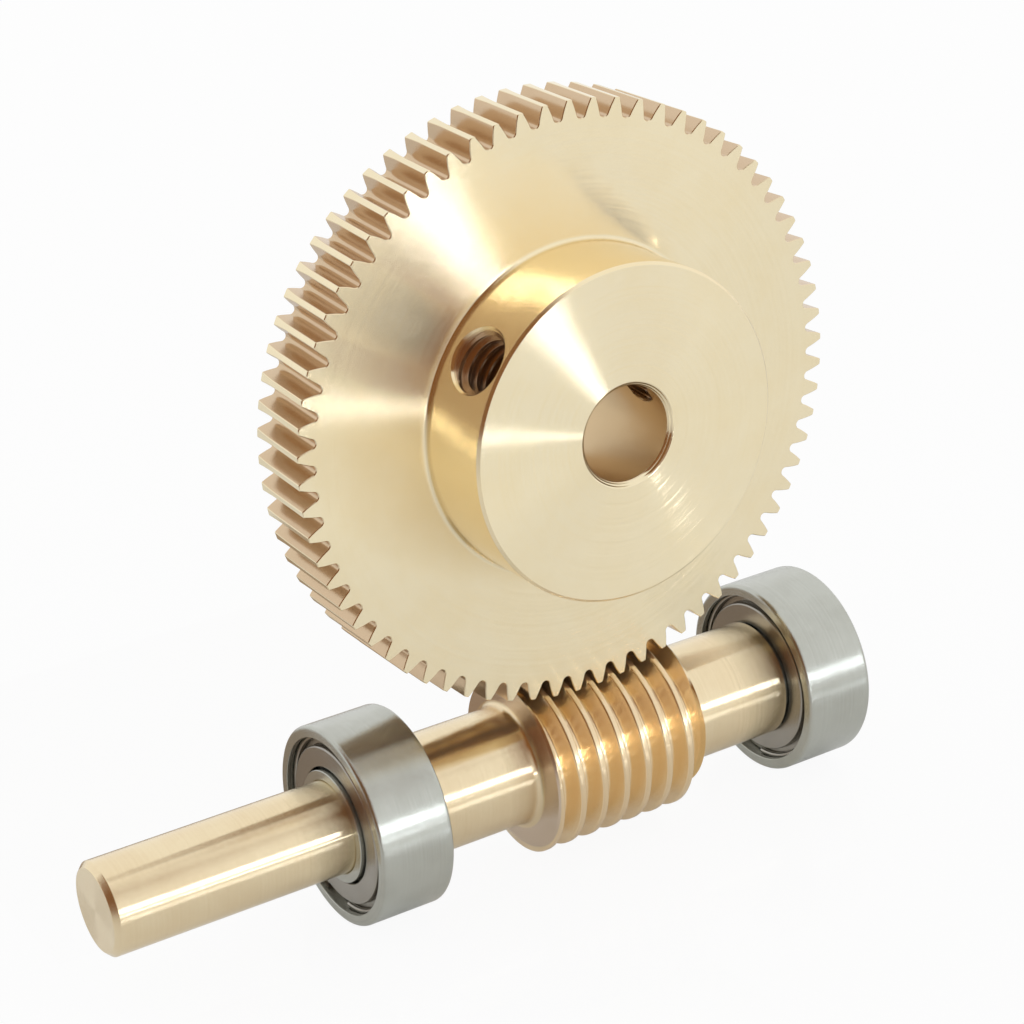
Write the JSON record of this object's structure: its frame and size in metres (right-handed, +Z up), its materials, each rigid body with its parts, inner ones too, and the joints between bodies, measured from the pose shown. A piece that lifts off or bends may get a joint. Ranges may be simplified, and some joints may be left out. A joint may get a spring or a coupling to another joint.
{
  "type": "worm gear reducer",
  "caption": "Worm drive: a brass worm on its shaft, running in shielded ball bearings, turns a hubbed brass worm wheel lying across it, for a large reduction in speed.",
  "frame": {"origin": "middle of the input bearing, on the worm shaft's axis", "axes": "+X along the worm shaft from the input stub to the far bearing, +Z up towards the worm wheel, wheel axis along Y with its hub towards -Y"},
  "size_m": [0.0535, 0.0148, 0.0495],
  "materials": {
    "wheel_brass": "turned and cut, bright",
    "worm_brass": "turned and cut, bright",
    "ring_steel": "ground, satin",
    "shield_steel": "pressed sheet, satin",
    "wire_steel": "drawn wire",
    "cage_steel": "pressed sheet",
    "ball_steel": "polished"
  },
  "bodies": {
    "bearing_rings": {"input_bearing_outer_ring": "ring_steel", "input_bearing_input_side_shield": "shield_steel", "input_bearing_far_side_shield": "shield_steel", "input_bearing_input_side_snap_wire": "wire_steel", "input_bearing_far_side_snap_wire": "wire_steel", "far_bearing_outer_ring": "ring_steel", "far_bearing_input_side_shield": "shield_steel", "far_bearing_far_side_shield": "shield_steel", "far_bearing_input_side_snap_wire": "wire_steel", "far_bearing_far_side_snap_wire": "wire_steel"},
    "worm": {"worm_shaft": "worm_brass", "input_bearing_inner_ring": "ring_steel", "far_bearing_inner_ring": "ring_steel"},
    "wheel": {"worm_wheel": "wheel_brass"},
    "input_bearing_cage": {"input_bearing_input_side_cage_half": "cage_steel", "input_bearing_far_side_cage_half": "cage_steel", "input_bearing_balls": "ball_steel"},
    "far_bearing_cage": {"far_bearing_input_side_cage_half": "cage_steel", "far_bearing_far_side_cage_half": "cage_steel", "far_bearing_balls": "ball_steel"}
  },
  "joints": [
    {"name": "worm_spin", "type": "hinge", "parent": "bearing_rings", "child": "worm", "pos_m": [0, 0, 0], "axis": [1, 0, 0], "continuous": true},
    {"name": "wheel_spin", "type": "hinge", "parent": "bearing_rings", "child": "wheel", "pos_m": [0.01525, 0, 0.024], "axis": [0, 1, 0], "continuous": true},
    {"name": "input_bearing_cage_spin", "type": "hinge", "parent": "bearing_rings", "child": "input_bearing_cage", "pos_m": [0, 0, 0], "axis": [1, 0, 0], "continuous": true},
    {"name": "far_bearing_cage_spin", "type": "hinge", "parent": "bearing_rings", "child": "far_bearing_cage", "pos_m": [0.0325, 0, 0], "axis": [1, 0, 0], "continuous": true}
  ],
  "couplings": [
    {"joint": "wheel_spin", "follows": "worm_spin", "ratio": 0.014286},
    {"joint": "input_bearing_cage_spin", "follows": "worm_spin", "ratio": 0.39474},
    {"joint": "far_bearing_cage_spin", "follows": "worm_spin", "ratio": 0.39474}
  ]
}
